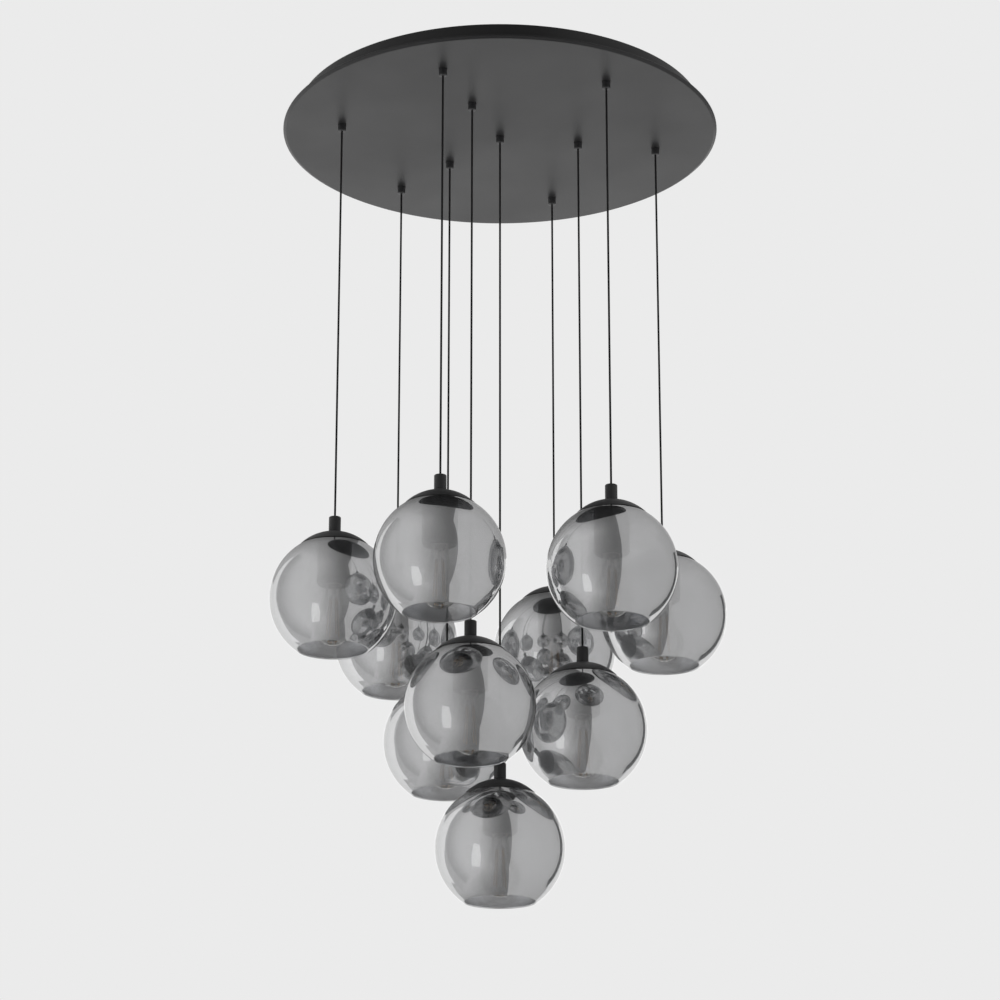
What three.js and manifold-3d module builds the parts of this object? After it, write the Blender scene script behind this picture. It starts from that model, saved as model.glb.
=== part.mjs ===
// Cluster pendant light: a round ceiling canopy carries ten smoked glass globes on black cords,
// six on an outer ring, three on an inner ring and one in the middle, at three heights.
// Millimetres, +Z up. The origin is the middle of the ceiling bracket's top face, with the light below it.

import * as THREE from "three";
import { mergeVertices } from "three/addons/utils/BufferGeometryUtils.js";
import Module from "manifold-3d";

// Driving dimensions
const FACE_DIAMETER = 680;
const DRUM_DIAMETER = 635;
const CANOPY_HEIGHT = 33;
const OUTER_RING_RADIUS = 250;
const INNER_RING_RADIUS = 125;
const OUTER_COUNT = 6;
const INNER_COUNT = 3;
const FIRST_PENDANT_ANGLE = THREE.MathUtils.degToRad(10);
const OUTER_DROP = 771;
const TIER_STEP = 183;
const GLOBE_DIAMETER = 190;
const CORD_DIAMETER = 3;

// Clearances: between pieces that touch, around a screw, and under the glass for its thin gasket
const SEAT_GAP = 0.3;
const SCREW_CLEARANCE = 0.3;
const GASKET_GAP = 0.6;
const CUT_OVERRUN = 1;

// Canopy face, with the lip that stands out past the drum
const FACE_THICKNESS = 4.5;
const FACE_CHAMFER_WIDTH = 4.5;
const FACE_CHAMFER_HEIGHT = 2.5;

// Cord grips: a barrel under the face and a lock nut above it
const GRIP_DIAMETER = 12.4;
const GRIP_LENGTH = 11;
const GRIP_BEVEL = 1.5;
const GRIP_NUT_DIAMETER = 17;
const GRIP_NUT_HEIGHT = 3;

// Canopy drum
const DRUM_WALL = 1.5;
const DRUM_FLANGE_WIDTH = 14;

// Ceiling bracket: a bar with a round hub and a tab folded down at each end
const BRACKET_THICKNESS = 2.5;
const BRACKET_WIDTH = 40;
const BRACKET_HUB_DIAMETER = 130;
const BRACKET_TAB_HEIGHT = 18;
const SUPPLY_HOLE_DIAMETER = 16;
const SUPPLY_HOLE_OFFSET = 36;
const CEILING_SLOT_SPACING = 90;
const CEILING_SLOT_LENGTH = 16;
const CEILING_SLOT_WIDTH = 5;

// Canopy screws
const SCREW_SHANK_DIAMETER = 4;
const SCREW_SHANK_PAST_TAB = 3;
const SCREW_HEAD_DIAMETER = 10;
const SCREW_HEAD_HEIGHT = 5;
const SCREW_HEAD_BEVEL = 0.8;

// Terminal block, with one row of screw pits along its underside
const BLOCK_LENGTH = 66;
const BLOCK_WIDTH = 18;
const BLOCK_HEIGHT = 15;
const BLOCK_OFFSET = 40;
const BLOCK_PIT_COUNT = 5;
const BLOCK_PIT_DIAMETER = 5;
const BLOCK_PIT_DEPTH = 4;

// Earth terminal
const EARTH_POST_DIAMETER = 5;
const EARTH_POST_HEIGHT = 9;
const EARTH_NUT_DIAMETER = 10;
const EARTH_NUT_HEIGHT = 3;
const EARTH_OFFSET = 42;

// Cord tails inside the canopy, and the loom that gathers them under the terminal block
const TAIL_RISE = 3.5;
const TAIL_BEND = 7;
const LOOM_DIAMETER = 22;
const LOOM_HEIGHT = 6;

// Glass globe
const GLASS_THICKNESS = 2.5;
const GLASS_HOLE_DIAMETER = 42;
const MOUTH_DIAMETER = 107;

// Top cap, a dome a little steeper than the globe it rests on, and the stem on it
const CAP_DIAMETER = 103;
const CAP_DOME_RADIUS = 73;
const CAP_RIM_THICKNESS = 0.8;
const CAP_THICKNESS = 1.5;
const STEM_DIAMETER = 18;
const STEM_LENGTH = 24.5;
const STEM_BEVEL = 1.5;

// Lamp socket: its neck goes up through the glass to the cap, and its shoulder carries the glass
const SOCKET_DIAMETER = 51;
const SOCKET_NECK_DIAMETER = 36;
const SOCKET_CORNER_RADIUS = 6;
const SOCKET_BOTTOM_ABOVE_GLOBE_CENTRE = 20.5;
const SOCKET_BORE_CLEARANCE = 0.4;

// Bulb
const BULB_DIAMETER = 60;
const BULB_LENGTH_BELOW_SOCKET = 92.5;
const BULB_BASE_DIAMETER = 26.4;
const BULB_BASE_LENGTH = 27;
const BULB_WALL = 1;
const BULB_CONTACT_DIAMETER = 12;
const BULB_CONTACT_HEIGHT = 4;
const BULB_VENT_DIAMETER = 4;
const BULB_NECK_REACH = 20;

// Facets and steps
const CANOPY_SIDES = 48;
const PENDANT_SIDES = 16;
const BULB_SIDES = 12;
const GRIP_SIDES = 8;
const SMALL_SIDES = 12;
const CORD_SIDES = 8;
const CORD_STEPS = 8;
const TAIL_STEPS = 4;
const CAP_ROWS = 2;
const GLOBE_ROWS = 3;
const CORNER_ROWS = 2;
const NECK_ROWS = 3;
const DOME_ROWS = 2;

// Sizes that follow from the ones above
const FACE_RADIUS = FACE_DIAMETER / 2;
const DRUM_RADIUS = DRUM_DIAMETER / 2;
const GLOBE_RADIUS = GLOBE_DIAMETER / 2;
const CORD_RADIUS = CORD_DIAMETER / 2;
const FACE_UNDERSIDE = -CANOPY_HEIGHT;
const FACE_TOP = FACE_UNDERSIDE + FACE_THICKNESS;
const GRIP_MOUTH = FACE_UNDERSIDE - GRIP_LENGTH;
const CAP_INSIDE_RADIUS = GLOBE_RADIUS + SEAT_GAP;
const CAP_RADIUS = CAP_DIAMETER / 2;
const CAP_RIM_HEIGHT = Math.sqrt(CAP_INSIDE_RADIUS ** 2 - CAP_RADIUS ** 2);
const CAP_RIM_DEPTH = Math.sqrt(CAP_DOME_RADIUS ** 2 - CAP_RADIUS ** 2);
const CAP_DOME_CENTRE = CAP_RIM_HEIGHT + CAP_RIM_THICKNESS - CAP_RIM_DEPTH;
const GLASS_INSIDE_RADIUS = GLOBE_RADIUS - GLASS_THICKNESS;
const STEM_RADIUS = STEM_DIAMETER / 2;
const STEM_TOP = CAP_DOME_CENTRE + CAP_DOME_RADIUS + STEM_LENGTH;
const HOLE_ANGLE = Math.asin(GLASS_HOLE_DIAMETER / 2 / GLOBE_RADIUS);
const CAP_ANGLE = Math.asin(CAP_RADIUS / GLOBE_RADIUS);
const MOUTH_ANGLE = Math.PI - Math.asin(MOUTH_DIAMETER / 2 / GLOBE_RADIUS);
const CAP_SEAT_HEIGHT = CAP_INSIDE_RADIUS * Math.cos(HOLE_ANGLE);

const wasm = await Module();
wasm.setup();

// Finishes
function finish(color, roughness, metalness) {
  return () => new THREE.MeshStandardMaterial({ color, roughness, metalness });
}

function glassFinish(color, roughness, opacity) {
  return () =>
    new THREE.MeshStandardMaterial({ color, roughness, metalness: 0, transparent: true, opacity });
}

const charcoalCoat = finish(0x565656, 0.62, 0.1);
const blackCoat = finish(0x2c2c2c, 0.5, 0.2);
const blackPlastic = finish(0x1e1e1e, 0.55, 0);
const zincSteel = finish(0xa9a9a4, 0.4, 0.9);
const brass = finish(0xb08d4a, 0.35, 1);
const creamPlastic = finish(0xd8d2c0, 0.6, 0);
const blackCord = finish(0x181818, 0.8, 0);
const smokedGlass = glassFinish(0x8c8c8c, 0.05, 0.45);
const clearGlass = glassFinish(0xe8e4dc, 0.03, 0.3);

// Helpers for shapes
function point(x, y) {
  return new THREE.Vector2(x, y);
}

// Points on a circle about a point on the axis, by angle from straight up, both ends included
function arc(radius, fromAngle, toAngle, rows, centreX = 0, centreY = 0) {
  const points = [];
  for (let i = 0; i <= rows; i += 1) {
    const angle = THREE.MathUtils.lerp(fromAngle, toAngle, i / rows);
    points.push(point(centreX + radius * Math.sin(angle), centreY + radius * Math.cos(angle)));
  }
  return points;
}

// A solid of revolution about +Z, from a profile of radius and height that runs up its outside
function turned(profile, sides) {
  return new THREE.LatheGeometry(profile, sides).rotateX(Math.PI / 2);
}

function disc(diameter, height, sides = SMALL_SIDES) {
  return new THREE.CylinderGeometry(diameter / 2, diameter / 2, height, sides).rotateX(Math.PI / 2);
}

// A tube of the cord's diameter along a curve
function tube(curve, steps) {
  const section = new THREE.Shape();
  section.absarc(0, 0, CORD_RADIUS, 0, 2 * Math.PI);
  return new THREE.ExtrudeGeometry(section, {
    steps,
    curveSegments: CORD_SIDES / 2,
    extrudePath: curve,
  });
}

// From geometry to solids that can be joined and cut, and back
function toSolid(geometry) {
  const bare = geometry.clone();
  bare.deleteAttribute("normal");
  bare.deleteAttribute("uv");
  const merged = mergeVertices(bare);
  return new wasm.Manifold(
    new wasm.Mesh({
      numProp: 3,
      vertProperties: merged.attributes.position.array,
      triVerts: merged.index.array,
    }),
  );
}

function toGeometry(solid) {
  const mesh = solid.getMesh();
  const geometry = new THREE.BufferGeometry();
  geometry.setAttribute("position", new THREE.BufferAttribute(mesh.vertProperties, mesh.numProp));
  geometry.setIndex(new THREE.BufferAttribute(mesh.triVerts, 1));
  geometry.computeVertexNormals();
  return geometry;
}

function join(first, ...others) {
  return others.reduce((solid, geometry) => solid.add(toSolid(geometry)), toSolid(first));
}

function cut(solid, ...tools) {
  return tools.reduce((rest, geometry) => rest.subtract(toSolid(geometry)), solid);
}

// Where each pendant hangs: its name, its place on the canopy and its globe centre's drop below the face
function ringPlaces(ringName, count, radius, drop) {
  const places = [];
  for (let i = 0; i < count; i += 1) {
    const angle = FIRST_PENDANT_ANGLE + (2 * Math.PI * i) / count;
    places.push({
      name: ringName + "_" + (i + 1),
      x: radius * Math.cos(angle),
      y: radius * Math.sin(angle),
      drop,
    });
  }
  return places;
}

const pendants = [
  ...ringPlaces("outer", OUTER_COUNT, OUTER_RING_RADIUS, OUTER_DROP),
  ...ringPlaces("inner", INNER_COUNT, INNER_RING_RADIUS, OUTER_DROP + TIER_STEP),
  { name: "centre", x: 0, y: 0, drop: OUTER_DROP + 2 * TIER_STEP },
];

// Canopy face with its ten cord grips and their lock nuts
function gripGeometry() {
  const radius = GRIP_DIAMETER / 2;
  const nutRadius = GRIP_NUT_DIAMETER / 2;
  return turned(
    [
      point(0, GRIP_MOUTH),
      point(radius - GRIP_BEVEL, GRIP_MOUTH),
      point(radius, GRIP_MOUTH + GRIP_BEVEL),
      point(radius, FACE_UNDERSIDE + FACE_THICKNESS / 2),
      point(nutRadius, FACE_UNDERSIDE + FACE_THICKNESS / 2),
      point(nutRadius, FACE_TOP + GRIP_NUT_HEIGHT),
      point(0, FACE_TOP + GRIP_NUT_HEIGHT),
    ],
    GRIP_SIDES,
  );
}

function canopyFaceGeometry() {
  const plate = turned(
    [
      point(0, FACE_UNDERSIDE),
      point(FACE_RADIUS - FACE_CHAMFER_WIDTH, FACE_UNDERSIDE),
      point(FACE_RADIUS, FACE_UNDERSIDE + FACE_CHAMFER_HEIGHT),
      point(FACE_RADIUS, FACE_TOP),
      point(0, FACE_TOP),
    ],
    CANOPY_SIDES,
  );
  const grips = pendants.map(({ x, y }) => gripGeometry().translate(x, y, 0));
  return toGeometry(join(plate, ...grips));
}

// Canopy drum: a rolled wall with a flange turned in over the face, and a flat of its outline at each screw
const SCREW_HEIGHT = -BRACKET_TAB_HEIGHT / 2 - BRACKET_THICKNESS / 2;

function screwHole(diameter) {
  const length = DRUM_DIAMETER + 2 * CUT_OVERRUN;
  return new THREE.CylinderGeometry(diameter / 2, diameter / 2, length, SMALL_SIDES)
    .rotateZ(Math.PI / 2)
    .translate(0, 0, SCREW_HEIGHT);
}

function canopyDrumGeometry() {
  const inside = DRUM_RADIUS - DRUM_WALL;
  const bottom = FACE_TOP + SEAT_GAP;
  const flangeInside = inside - DRUM_FLANGE_WIDTH;
  const ring = turned(
    [
      point(flangeInside, bottom),
      point(DRUM_RADIUS, bottom),
      point(DRUM_RADIUS, 0),
      point(inside, 0),
      point(inside, bottom + DRUM_WALL),
      point(flangeInside, bottom + DRUM_WALL),
      point(flangeInside, bottom),
    ],
    CANOPY_SIDES,
  ).rotateZ(Math.PI / CANOPY_SIDES);
  return toGeometry(cut(toSolid(ring), screwHole(SCREW_SHANK_DIAMETER + 2 * SCREW_CLEARANCE)));
}

// Ceiling bracket
const DRUM_CLEAR_RADIUS = (DRUM_RADIUS - DRUM_WALL) * Math.cos(Math.PI / CANOPY_SIDES);
const TAB_OUTSIDE = Math.sqrt(DRUM_CLEAR_RADIUS ** 2 - (BRACKET_WIDTH / 2) ** 2) - SEAT_GAP;

function slotGeometry(centreX) {
  const half = (CEILING_SLOT_LENGTH - CEILING_SLOT_WIDTH) / 2;
  const radius = CEILING_SLOT_WIDTH / 2;
  const outline = new THREE.Shape();
  outline.absarc(centreX + half, 0, radius, -Math.PI / 2, Math.PI / 2);
  outline.absarc(centreX - half, 0, radius, Math.PI / 2, (3 * Math.PI) / 2);
  outline.closePath();
  const depth = BRACKET_THICKNESS + 2 * CUT_OVERRUN;
  const options = { depth, bevelEnabled: false, curveSegments: CORNER_ROWS };
  const slot = new THREE.ExtrudeGeometry(outline, options);
  return slot.translate(0, 0, -BRACKET_THICKNESS - CUT_OVERRUN);
}

function bracketTab(side) {
  return new THREE.BoxGeometry(BRACKET_THICKNESS, BRACKET_WIDTH, BRACKET_TAB_HEIGHT).translate(
    side * (TAB_OUTSIDE - BRACKET_THICKNESS / 2),
    0,
    -BRACKET_TAB_HEIGHT / 2,
  );
}

function ceilingBracketGeometry() {
  const middle = -BRACKET_THICKNESS / 2;
  const bar = new THREE.BoxGeometry(2 * TAB_OUTSIDE, BRACKET_WIDTH, BRACKET_THICKNESS);
  const hub = disc(BRACKET_HUB_DIAMETER, BRACKET_THICKNESS, CANOPY_SIDES / 2);
  const supplyHole = disc(SUPPLY_HOLE_DIAMETER, BRACKET_THICKNESS + 2 * CUT_OVERRUN);
  const plate = join(bar.translate(0, 0, middle), hub.translate(0, 0, middle));
  const tabs = join(bracketTab(-1), bracketTab(1));
  return toGeometry(
    cut(
      plate.add(tabs),
      supplyHole.translate(0, SUPPLY_HOLE_OFFSET, middle),
      slotGeometry(-CEILING_SLOT_SPACING / 2),
      slotGeometry(CEILING_SLOT_SPACING / 2),
      screwHole(SCREW_SHANK_DIAMETER + 2 * SCREW_CLEARANCE),
    ),
  );
}

// Canopy screw, lying along X with its head outside the drum
function canopyScrewGeometry(side) {
  const headRadius = SCREW_HEAD_DIAMETER / 2;
  const shankRadius = SCREW_SHANK_DIAMETER / 2;
  const headSeat = DRUM_RADIUS * Math.cos(Math.PI / CANOPY_SIDES) + SEAT_GAP;
  const shankEnd = TAB_OUTSIDE - BRACKET_THICKNESS - SCREW_SHANK_PAST_TAB;
  const screw = turned(
    [
      point(0, shankEnd),
      point(shankRadius, shankEnd),
      point(shankRadius, headSeat),
      point(headRadius, headSeat),
      point(headRadius, headSeat + SCREW_HEAD_HEIGHT - SCREW_HEAD_BEVEL),
      point(headRadius - SCREW_HEAD_BEVEL, headSeat + SCREW_HEAD_HEIGHT),
      point(0, headSeat + SCREW_HEAD_HEIGHT),
    ],
    SMALL_SIDES,
  );
  return screw.rotateY((side * Math.PI) / 2).translate(0, 0, SCREW_HEIGHT);
}

// Terminal block under the bracket's hub
const BLOCK_TOP = -BRACKET_THICKNESS - SEAT_GAP;

function terminalBlockGeometry() {
  const body = new THREE.BoxGeometry(BLOCK_LENGTH, BLOCK_WIDTH, BLOCK_HEIGHT);
  const pits = [];
  for (let i = 0; i < BLOCK_PIT_COUNT; i += 1) {
    const pit = disc(BLOCK_PIT_DIAMETER, 2 * BLOCK_PIT_DEPTH, CORD_SIDES);
    const along = ((i + 1 / 2) / BLOCK_PIT_COUNT - 1 / 2) * BLOCK_LENGTH;
    const across = (i % 2 === 0 ? 1 : -1) * (BLOCK_WIDTH / 4);
    pits.push(pit.translate(along, across, -BLOCK_HEIGHT / 2));
  }
  return toGeometry(cut(toSolid(body), ...pits)).translate(0, -BLOCK_OFFSET, BLOCK_TOP - BLOCK_HEIGHT / 2);
}

// Earth terminal: a brass post with a nut, under the bracket
function earthTerminalGeometry() {
  const top = -BRACKET_THICKNESS - SEAT_GAP;
  const postRadius = EARTH_POST_DIAMETER / 2;
  const nutRadius = EARTH_NUT_DIAMETER / 2;
  return turned(
    [
      point(0, top - EARTH_POST_HEIGHT),
      point(postRadius, top - EARTH_POST_HEIGHT),
      point(postRadius, top - EARTH_NUT_HEIGHT),
      point(nutRadius, top - EARTH_NUT_HEIGHT),
      point(nutRadius, top),
      point(0, top),
    ],
    SMALL_SIDES / 2,
  ).translate(-EARTH_OFFSET, EARTH_OFFSET / 2, 0);
}

// Cord tails from the lock nuts to the loom under the terminal block
function tailCurve({ x, y }) {
  const start = new THREE.Vector3(x, y, FACE_TOP + GRIP_NUT_HEIGHT + SEAT_GAP);
  const end = new THREE.Vector3(0, -BLOCK_OFFSET, start.z + TAIL_RISE);
  const inward = new THREE.Vector3(end.x - x, end.y - y, 0).normalize();
  const bend = start.clone().addScaledVector(inward, TAIL_BEND);
  bend.z = end.z;
  const rise = start.clone();
  rise.z = (start.z + end.z) / 2;
  return new THREE.CatmullRomCurve3([start, rise, bend, end], false, "centripetal");
}

function canopyWiringGeometry() {
  const loomTop = BLOCK_TOP - BLOCK_HEIGHT - SEAT_GAP;
  const loom = disc(LOOM_DIAMETER, LOOM_HEIGHT).translate(0, -BLOCK_OFFSET, loomTop - LOOM_HEIGHT / 2);
  const tails = pendants.map((place) => tube(tailCurve(place), TAIL_STEPS));
  return toGeometry(join(loom, ...tails));
}

// Glass globe about its own centre, open at the mouth and at the hole under the cap
function globeArc(radius) {
  const underCap = arc(radius, HOLE_ANGLE, CAP_ANGLE, CAP_ROWS);
  const upperHalf = arc(radius, CAP_ANGLE, Math.PI / 2, GLOBE_ROWS);
  const lowerHalf = arc(radius, Math.PI / 2, MOUTH_ANGLE, GLOBE_ROWS);
  return [...underCap, ...upperHalf.slice(1), ...lowerHalf.slice(1)];
}

function glassGlobeGeometry() {
  const outside = globeArc(GLOBE_RADIUS);
  const inside = globeArc(GLASS_INSIDE_RADIUS).reverse();
  const profile = [...outside, ...inside, outside[0].clone()];
  return turned(profile.reverse(), PENDANT_SIDES);
}

// Top cap with its stem: a thin dome over a hub on the glass's hole, with its rim resting on the glass
function topCapGeometry() {
  const insideRadius = CAP_DOME_RADIUS - CAP_THICKNESS;
  const hubRadius = CAP_INSIDE_RADIUS * Math.sin(HOLE_ANGLE);
  const hubTop = CAP_DOME_CENTRE + Math.sqrt(insideRadius ** 2 - hubRadius ** 2);
  const seatReach = CAP_INSIDE_RADIUS ** 2 - insideRadius ** 2 + CAP_DOME_CENTRE ** 2;
  const seatHeight = seatReach / (2 * CAP_DOME_CENTRE);
  const seatRadius = Math.sqrt(CAP_INSIDE_RADIUS ** 2 - seatHeight ** 2);
  const rimAngle = Math.asin(CAP_RADIUS / CAP_DOME_RADIUS);
  const stemAngle = Math.asin(STEM_RADIUS / CAP_DOME_RADIUS);
  return turned(
    [
      point(0, CAP_SEAT_HEIGHT),
      point(hubRadius, CAP_SEAT_HEIGHT),
      point(hubRadius, hubTop),
      point(seatRadius, seatHeight),
      point(CAP_RADIUS, CAP_RIM_HEIGHT),
      ...arc(CAP_DOME_RADIUS, rimAngle, stemAngle, CAP_ROWS, 0, CAP_DOME_CENTRE),
      point(STEM_RADIUS, STEM_TOP - STEM_BEVEL),
      point(STEM_RADIUS - STEM_BEVEL, STEM_TOP),
      point(0, STEM_TOP),
    ],
    PENDANT_SIDES,
  );
}

// Lamp socket: a cover with a rounded lower edge and a bore for the bulb's base
function lampSocketGeometry() {
  const radius = SOCKET_DIAMETER / 2;
  const neckRadius = SOCKET_NECK_DIAMETER / 2;
  const bottom = SOCKET_BOTTOM_ABOVE_GLOBE_CENTRE;
  const shoulderRadius = GLASS_INSIDE_RADIUS - GASKET_GAP;
  const boreRadius = BULB_BASE_DIAMETER / 2 + SOCKET_BORE_CLEARANCE;
  const boreEnd = bottom + BULB_BASE_LENGTH + SEAT_GAP;
  const cornerX = radius - SOCKET_CORNER_RADIUS;
  const cornerY = bottom + SOCKET_CORNER_RADIUS;
  const shoulderFoot = Math.asin(radius / shoulderRadius);
  const shoulderTop = Math.asin(neckRadius / shoulderRadius);
  return turned(
    [
      point(0, boreEnd),
      point(boreRadius, boreEnd),
      point(boreRadius, bottom),
      ...arc(SOCKET_CORNER_RADIUS, Math.PI, Math.PI / 2, CORNER_ROWS, cornerX, cornerY),
      ...arc(shoulderRadius, shoulderFoot, shoulderTop, 1),
      point(neckRadius, CAP_SEAT_HEIGHT - SEAT_GAP),
      point(0, CAP_SEAT_HEIGHT - SEAT_GAP),
    ],
    PENDANT_SIDES,
  );
}

// Bulb envelope below the socket: a round end, then a neck that narrows to the base, moved in by a wall
function bulbEnvelope(wall) {
  const radius = BULB_DIAMETER / 2;
  const baseRadius = BULB_BASE_DIAMETER / 2;
  const neckTop = SOCKET_BOTTOM_ABOVE_GLOBE_CENTRE;
  const tip = neckTop - BULB_LENGTH_BELOW_SOCKET;
  const centreY = tip + radius;
  const neck = new THREE.CubicBezierCurve(
    point(radius - wall, centreY),
    point(radius - wall, centreY + BULB_NECK_REACH),
    point(baseRadius - wall, neckTop - BULB_NECK_REACH),
    point(baseRadius - wall, neckTop),
  );
  const dome = arc(radius - wall, Math.PI, Math.PI / 2, DOME_ROWS, 0, centreY);
  return [...dome, ...neck.getPoints(NECK_ROWS).slice(1)];
}

function bulbGeometry() {
  const baseRadius = BULB_BASE_DIAMETER / 2;
  const baseTop = SOCKET_BOTTOM_ABOVE_GLOBE_CENTRE + BULB_BASE_LENGTH;
  const shellTop = baseTop - BULB_CONTACT_HEIGHT;
  const contactRadius = BULB_CONTACT_DIAMETER / 2;
  const ventRadius = BULB_VENT_DIAMETER / 2;
  const inside = bulbEnvelope(BULB_WALL);
  inside[0].x = 0;
  const outside = bulbEnvelope(0);
  outside[0].x = 0;
  return turned(
    [
      ...outside,
      point(baseRadius, shellTop),
      point(contactRadius, baseTop),
      point(ventRadius, baseTop),
      point(ventRadius, shellTop - BULB_WALL),
      point(baseRadius - BULB_WALL, shellTop - BULB_WALL),
      ...inside.reverse(),
    ],
    BULB_SIDES,
  );
}

// Cord's free stretch, straight down from the grip's mouth to the stem's top
function cordGeometry(drop) {
  const top = new THREE.Vector3(0, 0, GRIP_MOUTH - SEAT_GAP);
  const bottom = new THREE.Vector3(0, 0, FACE_UNDERSIDE - drop + STEM_TOP + SEAT_GAP);
  return tube(new THREE.LineCurve3(top, bottom), CORD_STEPS);
}

// Assembly
function addMesh(group, name, geometry, material) {
  const mesh = new THREE.Mesh(geometry, material());
  mesh.name = name;
  group.add(mesh);
}

function canopyGroup() {
  const group = new THREE.Group();
  addMesh(group, "ceiling_bracket", ceilingBracketGeometry(), zincSteel);
  addMesh(group, "canopy_drum", canopyDrumGeometry(), charcoalCoat);
  addMesh(group, "canopy_face", canopyFaceGeometry(), charcoalCoat);
  addMesh(group, "canopy_screw_right", canopyScrewGeometry(1), blackCoat);
  addMesh(group, "canopy_screw_left", canopyScrewGeometry(-1), blackCoat);
  addMesh(group, "terminal_block", terminalBlockGeometry(), creamPlastic);
  addMesh(group, "earth_terminal", earthTerminalGeometry(), brass);
  addMesh(group, "canopy_wiring", canopyWiringGeometry(), blackCord);
  return group;
}

function pendantGroup({ name, x, y, drop }) {
  const group = new THREE.Group();
  group.position.set(x, y, 0);
  addMesh(group, "cord_" + name, cordGeometry(drop), blackCord);
  const shade = new THREE.Group();
  shade.position.z = FACE_UNDERSIDE - drop;
  addMesh(shade, "top_cap_" + name, topCapGeometry(), blackCoat);
  addMesh(shade, "glass_globe_" + name, glassGlobeGeometry(), smokedGlass);
  addMesh(shade, "lamp_socket_" + name, lampSocketGeometry(), blackPlastic);
  addMesh(shade, "bulb_" + name, bulbGeometry(), clearGlass);
  group.add(shade);
  return group;
}

const light = new THREE.Group();
light.add(canopyGroup(), ...pendants.map(pendantGroup));

export default light;
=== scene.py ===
"""Cluster pendant light: ten smoked glass globes on black cords, hung below a round charcoal canopy.

Metres, +Z up, with the origin at the middle of the ceiling bracket's top face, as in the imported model.
Each finish is a small frozen class that builds its node material, and each sub-assembly is a class that
holds its sizes, shapes its pieces with bmesh operators and lets them ride on the body that carries them.
"""

import logging
import math
from dataclasses import dataclass
from enum import Enum
from functools import cached_property

import bmesh
import bpy
from mathutils import Matrix, Quaternion, Vector

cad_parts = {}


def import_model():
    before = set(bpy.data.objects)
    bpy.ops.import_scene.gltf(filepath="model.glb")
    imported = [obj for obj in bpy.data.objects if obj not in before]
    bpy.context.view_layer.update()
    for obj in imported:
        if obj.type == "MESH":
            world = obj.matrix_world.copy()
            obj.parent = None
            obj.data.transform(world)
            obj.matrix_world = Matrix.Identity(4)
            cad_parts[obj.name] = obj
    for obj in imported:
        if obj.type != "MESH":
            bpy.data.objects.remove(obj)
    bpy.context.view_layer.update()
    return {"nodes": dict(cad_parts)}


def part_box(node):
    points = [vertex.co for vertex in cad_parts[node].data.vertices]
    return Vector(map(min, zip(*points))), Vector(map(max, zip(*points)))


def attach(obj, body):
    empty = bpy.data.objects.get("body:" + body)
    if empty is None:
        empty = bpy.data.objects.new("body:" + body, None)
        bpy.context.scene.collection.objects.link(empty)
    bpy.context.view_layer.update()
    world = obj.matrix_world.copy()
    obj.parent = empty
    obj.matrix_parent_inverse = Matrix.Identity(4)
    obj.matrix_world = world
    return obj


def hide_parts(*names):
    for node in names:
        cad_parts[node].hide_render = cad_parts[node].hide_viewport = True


LOG = logging.getLogger("cluster_pendant")
WELD = 1e-7
SHARP_EDGE = math.radians(38)
QUARTER_TURN = math.pi / 2
HALF_TURN = math.pi
FULL_TURN = 2 * math.pi
NOISE_LOW = 0.3
NOISE_HIGH = 0.7
CANOPY_HEIGHT = 0.033

Colour = tuple[float, float, float]


class Profile:
    """An outline in radius and height that is drawn stretch by stretch and then turned about +Z."""

    def __init__(self, radius: float, height: float) -> None:
        """Starts the outline at one point."""
        self.shape = bmesh.new()
        self.tip = self.shape.verts.new((radius, 0.0, height))

    def line(self, radius: float, height: float) -> "Profile":
        """Draws a straight stretch.

        Args:
            radius: Where it ends, from the axis.
            height: Where it ends, along the axis.

        Returns:
            The outline itself, so that stretches can follow each other.
        """
        made = bmesh.ops.extrude_vert_indiv(self.shape, verts=[self.tip])
        self.tip = made["verts"][0]
        self.tip.co = (radius, 0.0, height)
        return self

    def arc(self, centre: tuple[float, float], turn: float, steps: int) -> "Profile":
        """Draws a round stretch from the tip.

        Args:
            centre: Radius and height of the arc's centre.
            turn: Angle of the arc, positive from up towards outside.
            steps: Number of straight steps that it is made of.

        Returns:
            The outline itself.
        """
        made = bmesh.ops.spin(
            self.shape,
            geom=[self.tip],
            cent=(centre[0], 0.0, centre[1]),
            axis=(0.0, 1.0, 0.0),
            angle=turn,
            steps=steps,
        )
        self.tip = next(g for g in made["geom_last"] if isinstance(g, bmesh.types.BMVert))
        return self

    def turned(self, sides: int) -> bmesh.types.BMesh:
        """Turns the outline into a closed solid.

        Args:
            sides: Number of faces round the axis.

        Returns:
            The solid, with merged poles and normals that point out.
        """
        shape = self.shape
        bmesh.ops.spin(
            shape,
            geom=shape.verts[:] + shape.edges[:],
            cent=(0.0, 0.0, 0.0),
            axis=(0.0, 0.0, 1.0),
            angle=FULL_TURN,
            steps=sides,
            use_merge=True,
        )
        bmesh.ops.remove_doubles(shape, verts=shape.verts, dist=WELD)
        bmesh.ops.recalc_face_normals(shape, faces=shape.faces)
        return shape


def added(shape: bmesh.types.BMesh, other: bmesh.types.BMesh, slot: int = 0) -> bmesh.types.BMesh:
    """Adds a second shape, which is freed, in that material slot to a first, which is returned."""
    for face in other.faces:
        face.material_index = slot
    carrier = bpy.data.meshes.new("carrier")
    other.to_mesh(carrier)
    other.free()
    shape.from_mesh(carrier)
    bpy.data.meshes.remove(carrier)
    return shape


def moved(shape: bmesh.types.BMesh, matrix: Matrix) -> bmesh.types.BMesh:
    """Places a whole shape by a matrix and returns it."""
    bmesh.ops.transform(shape, matrix=matrix, verts=shape.verts)
    return shape


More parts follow.
